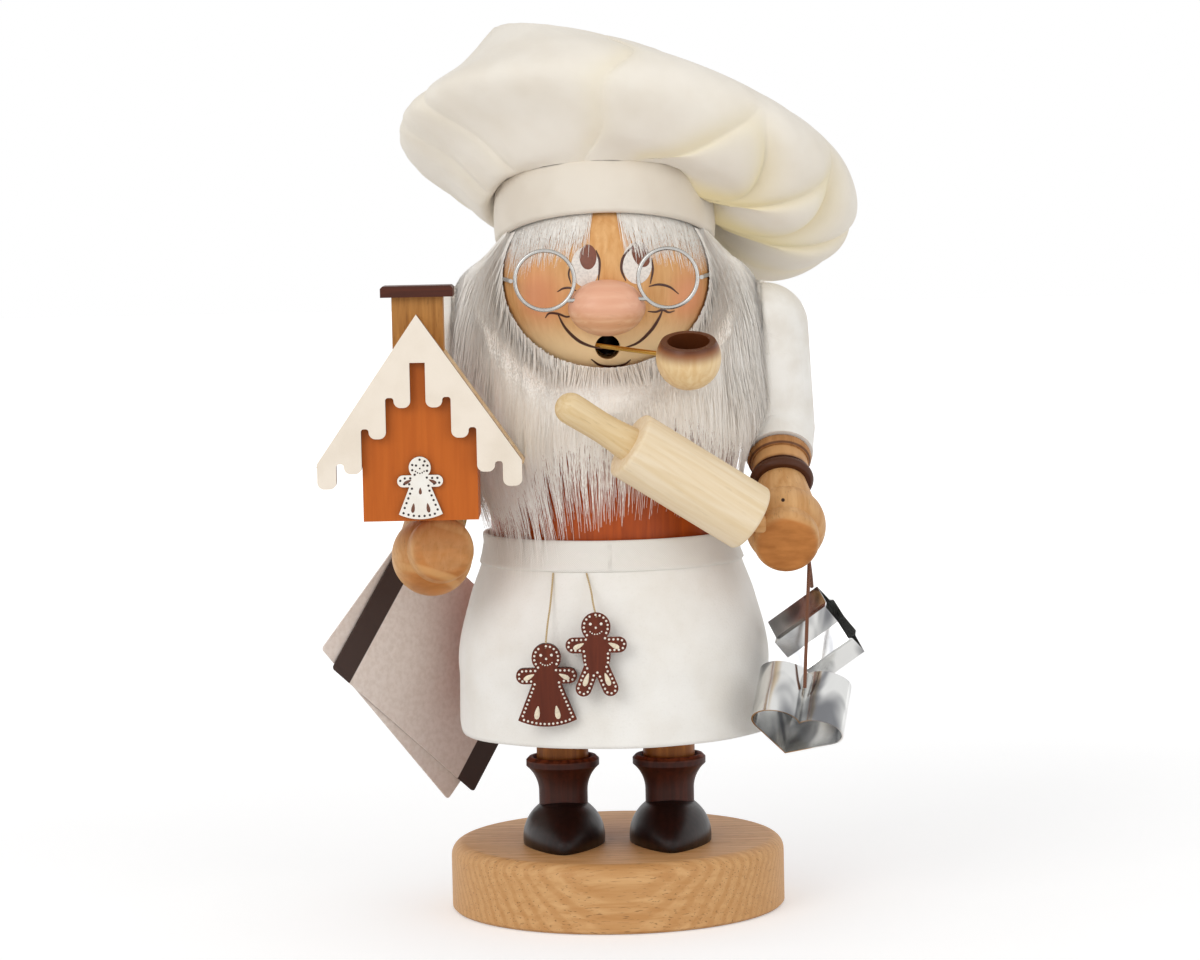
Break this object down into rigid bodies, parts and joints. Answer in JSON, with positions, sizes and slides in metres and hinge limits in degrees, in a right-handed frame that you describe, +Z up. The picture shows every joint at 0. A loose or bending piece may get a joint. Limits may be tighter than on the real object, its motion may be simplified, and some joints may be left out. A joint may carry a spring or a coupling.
{
  "type": "incense smoker figure",
  "caption": "Turned-wood incense smoker: a gnome baker with fur beard, cloth cap, rolling pin, gingerbread house, hanging cookie cutters and a lift-off body.",
  "frame": {"origin": "centre of the underside of the round base", "axes": "+Z up, -Y towards the viewer (the figure faces -Y), +X to the viewer's right"},
  "size_m": [0.1786, 0.1371, 0.2891],
  "materials": {
    "natural_beech": "matte",
    "shoe_stain": "satin",
    "boot_stain": "satin",
    "leg_stain": "satin",
    "body_stain": "satin",
    "face_wood": "satin",
    "sleeve_paint": "matte",
    "cuff_stain": "satin",
    "icing_paint": "matte",
    "gingerbread_stain": "satin",
    "house_stain": "satin",
    "pin_maple": "matte",
    "white_fur": "matte",
    "white_cloth": "matte",
    "white_felt": "matte",
    "woven_tape": "matte",
    "cord_brown": "matte",
    "cord_gold": "satin",
    "tin": "satin",
    "steel_wire": "satin",
    "brass": "satin",
    "tag_card": "matte"
  },
  "bodies": {
    "stand": {"base_disc": "natural_beech", "boot_dowels": "natural_beech", "shoe_left": "shoe_stain", "shoe_right": "shoe_stain", "boot_shaft_left": "boot_stain", "boot_shaft_right": "boot_stain", "leg_left": "leg_stain", "leg_right": "leg_stain", "lower_body": "body_stain", "incense_dish": "tin", "dish_nail": "steel_wire"},
    "figure": {"torso": "body_stain", "head": "face_wood", "nose": "face_wood", "hair": "white_fur", "forehead_tufts": "white_fur", "beard": "white_fur", "hat_band": "white_cloth", "hat_crown": "white_cloth", "spectacle_frame": "steel_wire", "spectacle_temples": "steel_wire", "pipe_stem": "brass", "pipe_bowl": "pin_maple", "sleeve_left": "sleeve_paint", "sleeve_right": "sleeve_paint", "cuff_left": "cuff_stain", "cuff_right": "cuff_stain", "hand_left": "natural_beech", "hand_right": "natural_beech", "shoulder_dowels": "natural_beech", "wrist_dowels": "natural_beech", "house_block": "house_stain", "roof_left": "gingerbread_stain", "roof_right": "gingerbread_stain", "icing_gable": "icing_paint", "chimney": "house_stain", "chimney_cap": "gingerbread_stain", "house_figure": "icing_paint", "house_peg": "natural_beech", "pin_roller": "pin_maple", "pin_handle": "pin_maple", "pin_peg": "natural_beech", "apron_skirt": "white_felt", "apron_band": "woven_tape", "tag_cord": "cord_gold"},
    "gingerbread_man": {"gingerbread_man": "gingerbread_stain", "man_thread": "cord_brown"},
    "gingerbread_woman": {"gingerbread_woman": "gingerbread_stain", "woman_thread": "cord_brown"},
    "cutters": {"heart_cutter": "tin", "star_cutter": "tin", "heart_cord": "cord_brown", "star_cord": "cord_brown"},
    "tag": {"tag_front": "tag_card", "tag_back": "tag_card"}
  },
  "joints": [
    {"name": "figure_lift", "type": "slide", "parent": "stand", "child": "figure", "axis": [0, 0, 1], "range_m": [0, 0.06]},
    {"name": "man_swing", "type": "hinge", "parent": "figure", "child": "gingerbread_man", "pos_m": [-0.0082, -0.0424, 0.11415], "axis": [-1, 0, 0], "range_deg": [0, 35]},
    {"name": "woman_swing", "type": "hinge", "parent": "figure", "child": "gingerbread_woman", "pos_m": [-0.0189, -0.0389, 0.11415], "axis": [-1, 0, 0], "range_deg": [0, 35]},
    {"name": "cutter_swing", "type": "hinge", "parent": "figure", "child": "cutters", "pos_m": [0.063, -0.0365, 0.1162], "axis": [0, 1, 0], "range_deg": [-45, 6]},
    {"name": "tag_swing", "type": "hinge", "parent": "figure", "child": "tag", "pos_m": [-0.0593, 0.017, 0.1097], "axis": [0.6947, -0.7193, 0], "range_deg": [-12, 12]}
  ],
  "couplings": [
    {"joint": "woman_swing", "follows": "man_swing", "ratio": 1}
  ]
}
